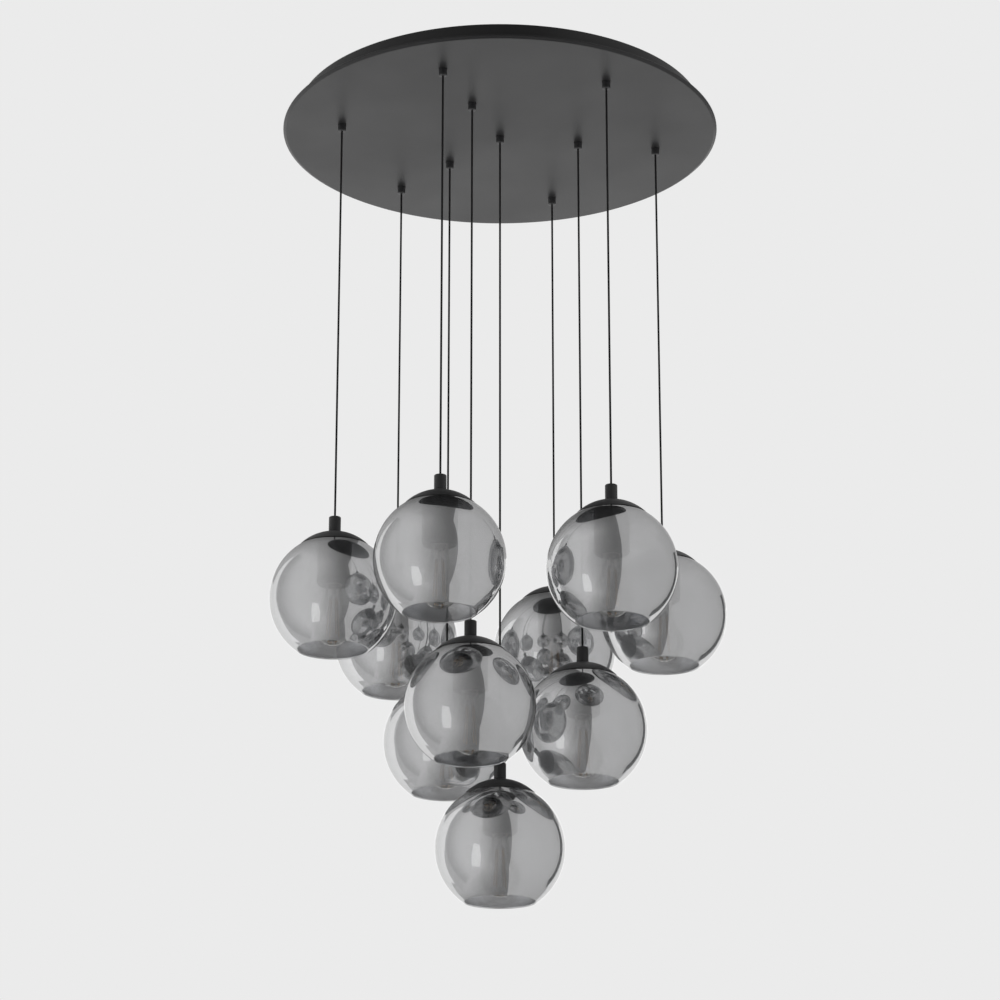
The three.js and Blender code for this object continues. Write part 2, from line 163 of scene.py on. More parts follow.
def rod(start: Vector, end: Vector, radius: float, sides: int) -> bmesh.types.BMesh:
    """Returns a straight round rod, as a closed shape, between the middles of its two ends."""
    span = end - start
    shape = bmesh.new()
    bmesh.ops.create_cone(
        shape,
        cap_ends=True,
        segments=sides,
        radius1=radius,
        radius2=radius,
        depth=span.length,
    )
    turn = span.to_track_quat("Z", "Y").to_matrix().to_4x4()
    return moved(shape, Matrix.Translation((start + end) / 2) @ turn)


class Graph:
    """The node tree of a material or the world, with short ways to add and link its nodes."""

    def __init__(self, owner: bpy.types.Material | bpy.types.World) -> None:
        """Starts an empty tree with an output.

        Args:
            owner: The material or world that the tree belongs to.
        """
        owner.use_nodes = True
        self.owner = owner
        self.tree = owner.node_tree
        self.tree.nodes.clear()
        kind = "World" if isinstance(owner, bpy.types.World) else "Material"
        self.output = self.tree.nodes.new(f"ShaderNodeOutput{kind}")

    @cached_property
    def place(self) -> bpy.types.NodeSocket:
        """The object's own coordinates."""
        return self.add("ShaderNodeTexCoord", {}).outputs["Object"]

    def add(self, kind: str, inputs: dict[str | int, object], **settings: object) -> bpy.types.Node:
        """Adds a node.

        Args:
            kind: Blender's name for the node type.
            inputs: Sockets to link and values to set, by socket name or number.
            settings: Properties of the node.

        Returns:
            The node.
        """
        node = self.tree.nodes.new(kind)
        for key, value in settings.items():
            setattr(node, key, value)
        for key, value in inputs.items():
            if isinstance(value, bpy.types.NodeSocket):
                self.tree.links.new(value, node.inputs[key])
            else:
                node.inputs[key].default_value = value
        return node

    def noise(self, scale: float, detail: float = 2.0) -> bpy.types.NodeSocket:
        """Returns a noise value with that many grains to a metre."""
        inputs = {"Vector": self.place, "Scale": scale, "Detail": detail}
        return self.add("ShaderNodeTexNoise", inputs).outputs["Fac"]

    def ranged(self, value: bpy.types.NodeSocket, low: float, high: float) -> bpy.types.NodeSocket:
        """Returns a noise value stretched to run from low to high."""
        ends = {"From Min": NOISE_LOW, "From Max": NOISE_HIGH, "To Min": low, "To Max": high}
        return self.add("ShaderNodeMapRange", {"Value": value, **ends}).outputs["Result"]

    def around(self, value: bpy.types.NodeSocket, middle: float, spread: float) -> bpy.types.NodeSocket:
        """Returns a noise value stretched to run that far to both sides of a middle."""
        return self.ranged(value, middle - spread, middle + spread)

    def maths(self, operation: str, first: object, second: object) -> bpy.types.NodeSocket:
        """Returns the result of one sum."""
        return self.add("ShaderNodeMath", {0: first, 1: second}, operation=operation).outputs["Value"]

    def shaded(self, colour: Colour, value: bpy.types.NodeSocket) -> bpy.types.NodeSocket:
        """Returns a colour made lighter or darker by a value near one."""
        inputs = {0: colour, "Scale": value}
        return self.add("ShaderNodeVectorMath", inputs, operation="SCALE").outputs["Vector"]

    def bump(self, height: bpy.types.NodeSocket, depth: float) -> bpy.types.NodeSocket:
        """Returns normals that follow a height field of that depth in metres."""
        inputs = {"Height": height, "Distance": depth, "Strength": 1.0}
        return self.add("ShaderNodeBump", inputs).outputs["Normal"]

    def shown(self, surface: bpy.types.NodeSocket) -> bpy.types.Material | bpy.types.World:
        """Links the last shader to the output and returns the tree's owner."""
        self.tree.links.new(surface, self.output.inputs["Surface"])
        return self.owner

    def shader(self, inputs: dict[str | int, object]) -> bpy.types.Material:
        """Adds and shows the surface shader, and returns the material."""
        return self.shown(self.add("ShaderNodeBsdfPrincipled", inputs).outputs["BSDF"])


@dataclass(frozen=True)
class Finish:
    """A finish with a name of its own and the slot that it belongs to."""

    name: str
    slot: str
    colour: Colour

    def build(self, graph: Graph) -> bpy.types.Material:
        """Fills the node tree, which each kind of finish does in its own way.

        Args:
            graph: The empty tree.

        Returns:
            The finished material.
        """
        raise NotImplementedError

    def material(self) -> bpy.types.Material:
        """Returns the material, built the first time that it is asked for."""
        made = bpy.data.materials.get(self.name)
        return made or self.build(Graph(bpy.data.materials.new(self.name)))


@dataclass(frozen=True)
class CoatFinish(Finish):
    """Baked coat on metal: fine grain, a slow drift in shade and a little unevenness in gloss."""

    roughness: float
    grain: float
    relief: float
    specular: float = 0.5
    speckle: float = 0.12
    drift: float = 0.04
    drift_scale: float = 6.0
    gloss_drift: float = 0.04

    def build(self, graph: Graph) -> bpy.types.Material:
        """Shades the colour by the grain and the drift."""
        fine = graph.noise(self.grain, 1.0)
        drift = graph.noise(self.drift_scale, 3.0)
        shade = graph.maths(
            "MULTIPLY",
            graph.around(fine, 1.0, self.speckle),
            graph.around(drift, 1.0, self.drift),
        )
        return graph.shader(
            {
                "Base Color": graph.shaded(self.colour, shade),
                "Roughness": graph.around(drift, self.roughness, self.gloss_drift),
                "Specular IOR Level": self.specular,
                "Normal": graph.bump(fine, self.relief),
            }
        )


@dataclass(frozen=True)
class MetalFinish(Finish):
    """Bare or plated metal with a rolled grain and faint stains."""

    roughness: float
    grain: float = 900.0
    stretch: float = 0.06
    stain_scale: float = 35.0
    stain: tuple[float, float] = (0.86, 1.06)
    gloss_spread: tuple[float, float] = (-0.08, 0.1)
    relief: float = 0.00002

    def build(self, graph: Graph) -> bpy.types.Material:
        """Draws the grain out along X and stains the colour."""
        inputs = {"Vector": graph.place, "Scale": (self.stretch, 1.0, 1.0)}
        squeeze = graph.add("ShaderNodeMapping", inputs)
        inputs = {"Vector": squeeze.outputs["Vector"], "Scale": self.grain, "Detail": 2.0}
        rolled = graph.add("ShaderNodeTexNoise", inputs).outputs["Fac"]
        stain = graph.noise(self.stain_scale, 4.0)
        bright, dull = (self.roughness + spread for spread in self.gloss_spread)
        return graph.shader(
            {
                "Base Color": graph.shaded(self.colour, graph.ranged(stain, *self.stain)),
                "Metallic": 1.0,
                "Roughness": graph.ranged(rolled, bright, dull),
                "Normal": graph.bump(rolled, self.relief),
            }
        )


@dataclass(frozen=True)
class MouldedFinish(Finish):
    """Moulded plastic or ceramic with a faint orange-peel skin."""

    roughness: float
    grain: float = 700.0
    cloud: float = 0.08
    cloud_scale: float = 40.0
    gloss_spread: float = 0.06
    relief: float = 0.00003

    def build(self, graph: Graph) -> bpy.types.Material:
        """Lays the skin over a faintly clouded colour."""
        skin = graph.noise(self.grain, 1.0)
        cloud = graph.around(graph.noise(self.cloud_scale), 1.0, self.cloud)
        return graph.shader(
            {
                "Base Color": graph.shaded(self.colour, cloud),
                "Roughness": graph.around(skin, self.roughness, self.gloss_spread),
                "Normal": graph.bump(skin, self.relief),
            }
        )


@dataclass(frozen=True)
class SheathFinish(Finish):
    """Braided cord sheath: two sets of slanted threads that cross."""

    roughness: float
    specular: float
    threads: float = 420.0
    waver: float = 0.6
    shade: tuple[float, float] = (0.85, 1.1)
    relief: float = 0.00001

    def build(self, graph: Graph) -> bpy.types.Material:
        """Crosses the two sets of threads."""
        sets = []
        for slant in (1.0, -1.0):
            turned = graph.add(
                "ShaderNodeMapping",
                {"Vector": graph.place, "Rotation": (0.0, slant * QUARTER_TURN / 2, 0.0)},
            )
            wave = graph.add(
                "ShaderNodeTexWave",
                {"Vector": turned.outputs["Vector"], "Scale": self.threads, "Distortion": self.waver},
                bands_direction="Z",
            )
            sets.append(wave.outputs["Fac"])
        braid = graph.maths("MAXIMUM", *sets)
        return graph.shader(
            {
                "Base Color": graph.shaded(self.colour, graph.ranged(braid, *self.shade)),
                "Roughness": self.roughness,
                "Specular IOR Level": self.specular,
                "Normal": graph.bump(braid, self.relief),
            }
        )


@dataclass(frozen=True)
class MirrorGlassFinish(Finish):
    """Smoked glass with a half-mirror coat, which mirrors more and shows less at a slant."""

    cover: float
    slant_cover: float
    slant_power: float
    roughness: float = 0.01
    rim_shade: float = 0.7
    haze: float = 0.02
    haze_scale: float = 5.0
    wave_scale: float = 7.0
    wave_depth: float = 0.0001

    def build(self, graph: Graph) -> bpy.types.Material:
        """Lets the mirror cover more of the glass towards the rim."""
        facing = graph.add("ShaderNodeLayerWeight", {"Blend": 0.5}).outputs["Facing"]
        rise = graph.maths("POWER", facing, self.slant_power)
        alpha = graph.add(
            "ShaderNodeMath",
            {0: rise, 1: self.slant_cover, 2: self.cover},
            operation="MULTIPLY_ADD",
            use_clamp=True,
        )
        haze = graph.around(graph.noise(self.haze_scale), 1.0, self.haze)
        return graph.shader(
            {
                "Base Color": graph.shaded(self.colour, haze),
                "Metallic": 1.0,
                "Roughness": self.roughness,
                "Specular Tint": (self.rim_shade, self.rim_shade, self.rim_shade, 1.0),
                "Alpha": alpha.outputs["Value"],
                "Normal": graph.bump(graph.noise(self.wave_scale, 1.0), self.wave_depth),
            }
        )


@dataclass(frozen=True)
class ClearGlassFinish(Finish):
    """Clear thin glass that only mirrors what its own gloss mirrors."""

    strength: float
    refraction: float = 1.5
    roughness: float = 0.01
    haze: float = 0.02
    haze_scale: float = 30.0
    wave_scale: float = 18.0
    wave_depth: float = 0.00005

    def build(self, graph: Graph) -> bpy.types.Material:
        """Covers the glass only where its own gloss mirrors."""
        gloss = graph.add("ShaderNodeFresnel", {"IOR": self.refraction}).outputs["Fac"]
        alpha = graph.add(
            "ShaderNodeMath", {0: gloss, 1: self.strength}, operation="MULTIPLY", use_clamp=True
        )
        haze = graph.around(graph.noise(self.haze_scale), 1.0, self.haze)
        return graph.shader(
            {
                "Base Color": graph.shaded(self.colour, haze),
                "Metallic": 1.0,
                "Roughness": self.roughness,
                "Alpha": alpha.outputs["Value"],
                "Normal": graph.bump(graph.noise(self.wave_scale, 1.0), self.wave_depth),
            }
        )


CHARCOAL_COAT = CoatFinish(
    "charcoal powder coat",
    "charcoal_coat",
    (0.016, 0.016, 0.0165),
    roughness=0.42,
    grain=900.0,
    relief=0.00004,
    specular=0.245,
)
BLACK_COAT = CoatFinish(
    "black satin coat",
    "black_coat",
    (0.028, 0.028, 0.0285),
    roughness=0.5,
    grain=1500.0,
    relief=0.00002,
    specular=0.25,
)
SOCKET_COAT = CoatFinish(
    "socket cover coat",
    "socket_plastic",
    (0.02, 0.02, 0.021),
    roughness=0.42,
    grain=1500.0,
    relief=0.00002,
)
BLACK_GRIP = MouldedFinish("black grip plastic", "charcoal_coat", (0.016, 0.016, 0.017), roughness=0.5)
ZINC_PLATE = MetalFinish("zinc plated steel", "zinc_steel", (0.56, 0.56, 0.54), roughness=0.38)
BRASS = MetalFinish("plain brass", "brass", (0.62, 0.45, 0.19), roughness=0.32)
CREAM_PLASTIC = MouldedFinish("cream moulded plastic", "cream_plastic", (0.66, 0.6, 0.49), roughness=0.55)
BLACK_SHEATH = SheathFinish(
    "black braided sheath", "black_cord", (0.013, 0.013, 0.0135), roughness=0.8, specular=0.12
)
SMOKED_GLASS = MirrorGlassFinish(
    "smoked mirror glass",
    "smoked_glass",
    (0.525, 0.525, 0.527),
    cover=0.6,
    slant_cover=0.36,
    slant_power=2.5,
)
INNER_GLASS = MirrorGlassFinish(
    "mirror coat inside",
    "smoked_glass",
    (0.94, 0.949, 0.965),
    cover=0.57,
    slant_cover=0.33,
    slant_power=2.5,
    roughness=0.23,
)
CLEAR_GLASS = ClearGlassFinish("clear bulb glass", "clear_glass", (0.93, 0.93, 0.92), strength=0.8)
PHOSPHOR = MouldedFinish(
    "filament phosphor", "clear_glass", (0.5, 0.34, 0.2), roughness=0.6, grain=2500.0
)
SUPPORT_WIRE = MetalFinish("filament support wire", "clear_glass", (0.45, 0.43, 0.41), roughness=0.35)


def linked(name: str, data: bpy.types.ID) -> bpy.types.Object:
    """Makes an object from a mesh, curve, lamp or camera, and links it to the scene."""
    made = bpy.data.objects.new(name, data)
    bpy.context.scene.collection.objects.link(made)
    return made


def meshed(name: str, shape: bmesh.types.BMesh) -> bpy.types.Object:
    """Turns a finished shape, which is freed, into an object with a mesh of that name."""
    mesh = bpy.data.meshes.new(name)
    shape.to_mesh(mesh)
    shape.free()
    return linked(name, mesh)


def make_piece(
    name: str,
    shape: bmesh.types.BMesh,
    finishes: list[Finish],
    body: str,
    stands_for: str,
) -> None:
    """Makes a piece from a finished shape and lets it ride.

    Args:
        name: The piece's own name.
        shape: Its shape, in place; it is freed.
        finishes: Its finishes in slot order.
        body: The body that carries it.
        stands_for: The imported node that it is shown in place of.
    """
    piece = meshed(name, shape)
    mesh = piece.data
    mesh.shade_smooth()
    mesh.set_sharp_from_angle(angle=SHARP_EDGE)
    for finish in finishes:
        mesh.materials.append(finish.material())
    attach(piece, body)
    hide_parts(stands_for)
    LOG.info("%s rides on %s, %d faces", name, body, len(mesh.polygons))


def dress_node(nodes: dict[str, bpy.types.Object], name: str, finish: Finish) -> None:
    """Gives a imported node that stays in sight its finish.

    Args:
        nodes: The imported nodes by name.
        name: The node's name.
        finish: Its finish.
    """
    mesh = nodes[name].data
    mesh.materials.clear()
    mesh.materials.append(finish.material())
    LOG.info("%s keeps its own solid", name)


class Ring(Enum):
    """The pendants' rings: how many hang on each, its radius and the globes' drop below the face."""

    OUTER = (6, 0.250, 0.771)
    INNER = (3, 0.125, 0.954)
    CENTRE = (1, 0.0, 1.137)


@dataclass(frozen=True)
class Hanging:
    """Where one pendant hangs: its name, its cord's two ends and its globe's centre."""

    name: str
    cord_top: Vector
    cord_foot: Vector
    centre: Vector

    @property
    def body(self) -> str:
        """The body of everything that swings with the cord."""
        return f"pendant_{self.name}"

    @property
    def lamp(self) -> str:
        """The body of the bulb."""
        return f"lamp_{self.name}"


@dataclass(frozen=True)
class Layout:
    """The places of the pendants under the canopy."""

    first_angle: float = math.radians(10)
    face_height: float = -CANOPY_HEIGHT
    grip_mouth: float = -0.0443
    stem_top: float = 0.12705

    def hangings(self) -> list[Hanging]:
        """Returns where the pendants hang, ring by ring."""
        found = []
        for ring in Ring:
            count, radius, drop = ring.value
            for number in range(count):
                angle = self.first_angle + FULL_TURN * number / count
                x, y = radius * math.cos(angle), radius * math.sin(angle)
                name = ring.name.lower() + (f"_{number + 1}" if count > 1 else "")
                centre = Vector((x, y, self.face_height - drop))
                foot = Vector((x, y, centre.z + self.stem_top))
                found.append(Hanging(name, Vector((x, y, self.grip_mouth)), foot, centre))
        return found


@dataclass
class Card:
    """A flat studio card that only reflections see, whose glow can change across its width."""

    name: str
    centre: Vector
    faces: Vector
    width: float
    height: float
    brightness: float
    far_brightness: float | None = None
    fade: tuple[float, float] = (0.0, 1.0)
    lean: float = 0.0

    def make(self) -> None:
        """Builds the card and sets it up."""
        shape = bmesh.new()
        bmesh.ops.create_grid(shape, x_segments=1, y_segments=1, size=0.5)
        bmesh.ops.scale(shape, vec=(self.width, self.height, 1.0), verts=shape.verts)
        card = meshed(self.name, shape)
        card.location = self.centre
        upright = (-self.faces).to_track_quat("-Z", "Y")
        card.rotation_euler = (upright @ Quaternion((0.0, 0.0, 1.0), self.lean)).to_euler()
        card.data.materials.append(self.surface())
        card.visible_camera = False
        card.visible_diffuse = False
        card.visible_transmission = False
        card.visible_shadow = False

    def surface(self) -> bpy.types.Material:
        """Returns a glow that goes from one brightness to the other between the fade's shares."""
        graph = Graph(bpy.data.materials.new(f"{self.name} surface"))
        across = graph.add("ShaderNodeSeparateXYZ", {"Vector": graph.place}).outputs["X"]
        far = self.brightness if self.far_brightness is None else self.far_brightness
        level = graph.add(
            "ShaderNodeMapRange",
            {
                "Value": across,
                "From Min": self.width * (self.fade[0] - 0.5),
                "From Max": self.width * (self.fade[1] - 0.5),
                "To Min": self.brightness,
                "To Max": far,
            },
            interpolation_type="SMOOTHSTEP",
        )
        glow = graph.add("ShaderNodeEmission", {"Strength": level.outputs["Result"]})
        return graph.shown(glow.outputs["Emission"])


@dataclass
class SoftLamp:
    """A large soft lamp that lights the object and stays out of its reflections."""

    name: str
    place: Vector
    aim: Vector
    width: float
    height: float
    power: float

    def make(self) -> None:
        """Hangs the lamp and turns it to its aim."""
        light = bpy.data.lights.new(self.name, "AREA")
        light.shape = "RECTANGLE"
        light.size = self.width
        light.size_y = self.height
        light.energy = self.power
        lamp = linked(self.name, light)
        lamp.location = self.place
        lamp.rotation_euler = (self.aim - self.place).to_track_quat("-Z", "Y").to_euler()
        lamp.visible_camera = False
        lamp.visible_glossy = False
        lamp.visible_transmission = False


@dataclass
class Studio:
    """The camera, the pale surroundings, the soft lamps and the cards for the reflections."""

    camera_place: Vector = Vector((0.0, -4.39, -2.118))
    camera_pitch: float = math.radians(18.66)
    lens: float = 110.5
    sensor: float = 36.0
    backdrop: float = 0.831
    ambient: float = 0.36
    floor_height: float = -8.0
    floor_width: float = 40.0
    floor_glow: float = 0.88
    card_height: float = 16.0
    clear_depth: int = 64
    ray_depth: int = 12
    mirror_depth: int = 6
    aim: Vector = Vector((0.0, 0.0, -0.7))

    def set_camera(self) -> None:
        """Places the camera at the photograph's viewing angle."""
        data = bpy.data.cameras.new("photo camera")
        data.lens = self.lens
        data.sensor_width = self.sensor
        camera = linked("photo camera", data)
        camera.location = self.camera_place
        camera.rotation_euler = (QUARTER_TURN + self.camera_pitch, 0.0, 0.0)
        bpy.context.scene.camera = camera

    def seen_by_eye(self, graph: Graph) -> bpy.types.NodeSocket:
        """Returns one for rays from the camera, a mirror or a glass, and zero for all others."""
        rays = graph.add("ShaderNodeLightPath", {}).outputs
        mirror = graph.maths("MAXIMUM", rays["Is Camera Ray"], rays["Is Glossy Ray"])
        return graph.maths("MAXIMUM", mirror, rays["Is Transmission Ray"])

    def set_world(self) -> None:
        """Lights the scene evenly and shows the pale backdrop behind it."""
        world = bpy.data.worlds.new("studio")
        bpy.context.scene.world = world
        graph = Graph(world)
        inputs = {0: self.seen_by_eye(graph)}
        for number, level in enumerate((self.ambient, self.backdrop), 1):
            shade = graph.add("ShaderNodeBackground", {"Color": (level, level, level, 1.0)})
            inputs[number] = shade.outputs["Background"]
        graph.shown(graph.add("ShaderNodeMixShader", inputs).outputs["Shader"])

    def set_floor(self) -> None:
        """Lays a pale floor well below the light."""
        shape = bmesh.new()
        bmesh.ops.create_grid(shape, x_segments=1, y_segments=1, size=self.floor_width / 2)
        bmesh.ops.translate(shape, vec=(0.0, 0.0, self.floor_height), verts=shape.verts)
        floor = meshed("floor", shape)
        graph = Graph(bpy.data.materials.new("pale floor"))
        level = (self.backdrop, self.backdrop, self.backdrop, 1.0)
        matt = graph.add("ShaderNodeBsdfDiffuse", {"Color": level})
        glow = graph.add("ShaderNodeEmission", {"Color": level, "Strength": 1.0})
        share = graph.maths("MULTIPLY", self.seen_by_eye(graph), self.floor_glow)
        inputs = {0: share, 1: matt.outputs["BSDF"], 2: glow.outputs["Emission"]}
        mixed = graph.add("ShaderNodeMixShader", inputs)
        floor.data.materials.append(graph.shown(mixed.outputs["Shader"]))

    def set_lamps(self) -> None:
        """Hangs the soft lamps: a stronger one at the left, a weaker one at the right, one below."""
        lamps = (
            SoftLamp("left lamp", Vector((-2.4, -0.2, -1.5)), self.aim, 1.8, 2.2, 48.0),
            SoftLamp("right lamp", Vector((2.4, -0.2, -1.4)), self.aim, 1.6, 2.0, 34.0),
            SoftLamp("floor bounce", Vector((0.0, 0.3, -2.6)), self.aim, 2.4, 2.0, 14.0),
        )
        for lamp in lamps:
            lamp.make()

    def set_cards(self) -> None:
        """Sets the cards that shape the reflections in the glass."""
        front, up = Vector((0.0, -1.0, 0.0)), Vector((0.0, 0.0, 1.0))
        left, right = Vector((1.0, 0.0, 0.0)), Vector((-1.0, 0.0, 0.0))
        corner, gap = Vector((0.72, 0.69, 0.0)), Vector((-0.69, -0.725, 0.0))
        slant = Vector((0.888, 0.46, 0.0))
        white, grey, lit, dark = 1.5, 0.86, 0.74, 0.24
        tall, flag, turn = self.card_height, 1.397, math.radians(10)
        wedge_lean, window_lean = math.radians(31), math.radians(22.6)
        cards = [
            Card("front flag", Vector((-0.3385, -1, 0)), front, flag, tall, grey, dark, (0.068, 0.979)),
            Card("left panel", Vector((-1.037, -0.365, 0)), left, 1.27, tall, 0.89, 0.58, (0.47, 1.06)),
            Card("left wedge", Vector((-1.045, 0.16, -1.581)), left, 0.9, 2.45, 0.74, lean=wedge_lean),
            Card("right front", Vector((0.855, -1, 0)), front, 0.99, tall, lit),
            Card("right side", Vector((1.35, 0, 0)), right, 2.0, tall, lit),
            Card("right gap", Vector((1.83, 1.93, 0)), gap, 0.55, tall, 0.12),
            Card("left white", Vector((-1.875, 1.8, 0)), slant, 3.15, tall, white),
            Card("back white", Vector((0.4, 3.2, 0)), front, 6.0, tall, white),
            Card("window", Vector((-0.826, -0.855, -1.65)), corner, 0.38, 0.87, 1.3, lean=window_lean),
        ]
        for side, height, step in (("low", -2.2, 0.002), ("high", 0.3, -0.002)):
            over = Vector((-0.64, 0.65, height + 2 * step))
            cards += [
                Card(f"{side} flag", over, up, flag, 4.0, dark, grey, (0.021, 0.932), lean=turn),
                Card(f"{side} left", Vector((-2.037, 0.65, height)), up, 2.0, 3.3, 0.76),
                Card(f"{side} right", Vector((0.96, 1.5, height + step)), up, 2.4, 5.0, lit),
            ]
        for card in cards:
            card.make()

    def set_render_depth(self) -> None:
        """Keeps plain colours and lets rays pass through all the glass that can lie in a row."""
        scene = bpy.context.scene
        scene.view_settings.view_transform = "Standard"
        scene.cycles.transparent_max_bounces = self.clear_depth
        scene.cycles.max_bounces = self.ray_depth
        scene.cycles.glossy_bounces = self.mirror_depth

    def build(self) -> None:
        """Sets everything but the camera, which comes first."""
        self.set_world()
        self.set_floor()
        self.set_lamps()
        self.set_cards()
        self.set_render_depth()


@dataclass
class Cords:
    """The ten free cords, each from its grip's mouth straight down to its stem."""

    diameter: float = 0.0031
    points: int = 24
    round_steps: int = 4

    def build(self, hangings: list[Hanging]) -> None:
        for hanging in hangings:
            name = f"flex_{hanging.name}"
            curve = bpy.data.curves.new(name, "CURVE")
            curve.dimensions = "3D"
            curve.bevel_depth = self.diameter / 2
            curve.bevel_resolution = self.round_steps
            curve.use_fill_caps = True
            spline = curve.splines.new("POLY")
            spline.points.add(self.points - 1)
            for number, point in enumerate(spline.points):
                share = number / (self.points - 1)
                point.co = (*hanging.cord_top.lerp(hanging.cord_foot, share), 1.0)
            curve.materials.append(BLACK_SHEATH.material())
            flex = linked(name, curve)
            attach(flex, hanging.body)
            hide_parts(f"cord_{hanging.name}")


@dataclass
class Canopy:
    """The round canopy: face plate, drum, cord grips, screws, bracket and what hides inside."""

    face_radius: float = 0.340
    face_thickness: float = 0.0045
    chamfer_width: float = 0.0045
    chamfer_height: float = 0.0025
    chamfer_soft: float = 0.002
    chamfer_crisp: float = 0.0006
    height: float = CANOPY_HEIGHT
    drum_radius: float = 0.3175
    drum_wall: float = 0.0015
    drum_flange: float = 0.014
    drum_edge: float = 0.0008
    seat_gap: float = 0.0003
    grip_radius: float = 0.0062
    grip_length: float = 0.011
    grip_edge: float = 0.0014
    grip_collar: float = 0.0066
    collar_height: float = 0.0022
    nut_radius: float = 0.0085
    nut_height: float = 0.003
    nut_edge: float = 0.000375
    screw_radius: float = 0.005
    screw_shank: float = 0.002
    screw_head: float = 0.0048
    screw_crown: float = 0.0043
    flank_share: float = 0.4
    crown_share: float = 0.8
    socket_radius: float = 0.00225
    socket_foot: float = 0.001935
    socket_depth: float = 0.0015
    chamfer_steps: int = 4
    edge_steps: int = 3
    grip_steps: int = 5
    sides: int = 192
    small_sides: int = 32
    body: str = "canopy"

    def face_shape(self) -> bmesh.types.BMesh:
        """Shapes the face plate, whose edge is chamfered below and stands out past the drum.

        Returns:
            The plate in place.
        """
        low = -self.height
        top = low + self.face_thickness
        slope = math.atan2(self.chamfer_height, self.chamfer_width)
        soft, crisp = self.chamfer_soft, self.chamfer_crisp
        start = self.face_radius - self.chamfer_width - soft * math.tan(slope / 2)
        corner = self.face_radius - crisp
        corner_height = low + self.chamfer_height + crisp * math.tan((QUARTER_TURN - slope) / 2)
        outline = Profile(0.0, low).line(start - soft, low).line(start, low)
        outline.arc((start, low + soft), -slope, self.chamfer_steps)
        outline.line(corner + crisp * math.sin(slope), corner_height - crisp * math.cos(slope))
        outline.arc((corner, corner_height), slope - QUARTER_TURN, self.chamfer_steps)
        round_radius, round_height = self.face_radius - self.drum_edge, top - self.drum_edge
        outline.line(self.face_radius, round_height)
        outline.arc((round_radius, round_height), -QUARTER_TURN, self.edge_steps)
        return outline.line(0.0, top).turned(self.sides)

    def drum_shape(self) -> bmesh.types.BMesh:
        """Returns the drum in place: a rolled wall with a flange turned in over the face."""
        low = -self.height + self.face_thickness + self.seat_gap
        inside = self.drum_radius - self.drum_wall
        lip = inside - self.drum_flange
        edge = self.drum_edge
        outline = Profile(lip, low).line(self.drum_radius - edge, low)
        outline.arc((self.drum_radius - edge, low + edge), -QUARTER_TURN, self.edge_steps)
        outline.line(self.drum_radius, -edge)
        outline.arc((self.drum_radius - edge, -edge), -QUARTER_TURN, self.edge_steps)
        outline.line(inside, 0.0).line(inside, low + self.drum_wall).line(lip, low + self.drum_wall)
        return outline.line(lip, low).turned(self.sides)

    def grip_shape(self) -> bmesh.types.BMesh:
        """Shapes one cord grip below the face, with its collar against the face.

        Returns:
            The grip on the canopy's axis.
        """
        low = -self.height - self.grip_length
        seat = -self.height - self.seat_gap
        collar_low = seat - self.collar_height
        foot = self.grip_radius - self.grip_edge
        outline = Profile(0.0, low).line(foot, low)
        outline.arc((foot, low + self.grip_edge), -QUARTER_TURN, self.grip_steps)
        outline.line(self.grip_radius, collar_low).line(self.grip_collar, collar_low)
        return outline.line(self.grip_collar, seat).line(0.0, seat).turned(self.small_sides)

    def nut_shape(self) -> bmesh.types.BMesh:
        """Returns one lock nut above the face, on the axis: a hexagon with bevelled corners."""
        shape = bmesh.new()
        bmesh.ops.create_cone(
            shape,
            cap_ends=True,
            segments=6,
            radius1=self.nut_radius,
            radius2=self.nut_radius,
            depth=self.nut_height,
        )
        bmesh.ops.bevel(
            shape,
            geom=shape.edges[:],
            offset=self.nut_edge,
            segments=2,
            profile=0.5,
            affect="EDGES",
            material=-1,
        )
        height = -self.height + self.face_thickness + self.seat_gap + self.nut_height / 2
        return moved(shape, Matrix.Translation((0.0, 0.0, height)))

    def screw_shape(self, node: str) -> bmesh.types.BMesh:
        """Shapes a canopy screw's shank and domed head with a driver socket.

        Args:
            node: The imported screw, whose box gives its place and side.

        Returns:
            The screw, lying along X.
        """
        low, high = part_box(node)
        side = 1.0 if high.x > 0 else -1.0
        outside = max(abs(low.x), abs(high.x))
        inside = min(abs(low.x), abs(high.x))
        seat = outside - self.screw_head
        flank = seat + self.screw_head * self.flank_share
        crown = seat + self.screw_head * self.crown_share
        outline = Profile(0.0, inside).line(self.screw_shank, inside).line(self.screw_shank, seat)
        outline.line(self.screw_radius, seat).line(self.screw_radius, flank)
        outline.line(self.screw_crown, crown).line(self.socket_radius, outside)
        outline.line(self.socket_foot, outside - self.socket_depth)
        shape = outline.line(0.0, outside - self.socket_depth).turned(self.small_sides)
        turn = Matrix.Rotation(side * QUARTER_TURN, 4, "Y")
        return moved(shape, Matrix.Translation((0.0, 0.0, (low.z + high.z) / 2)) @ turn)

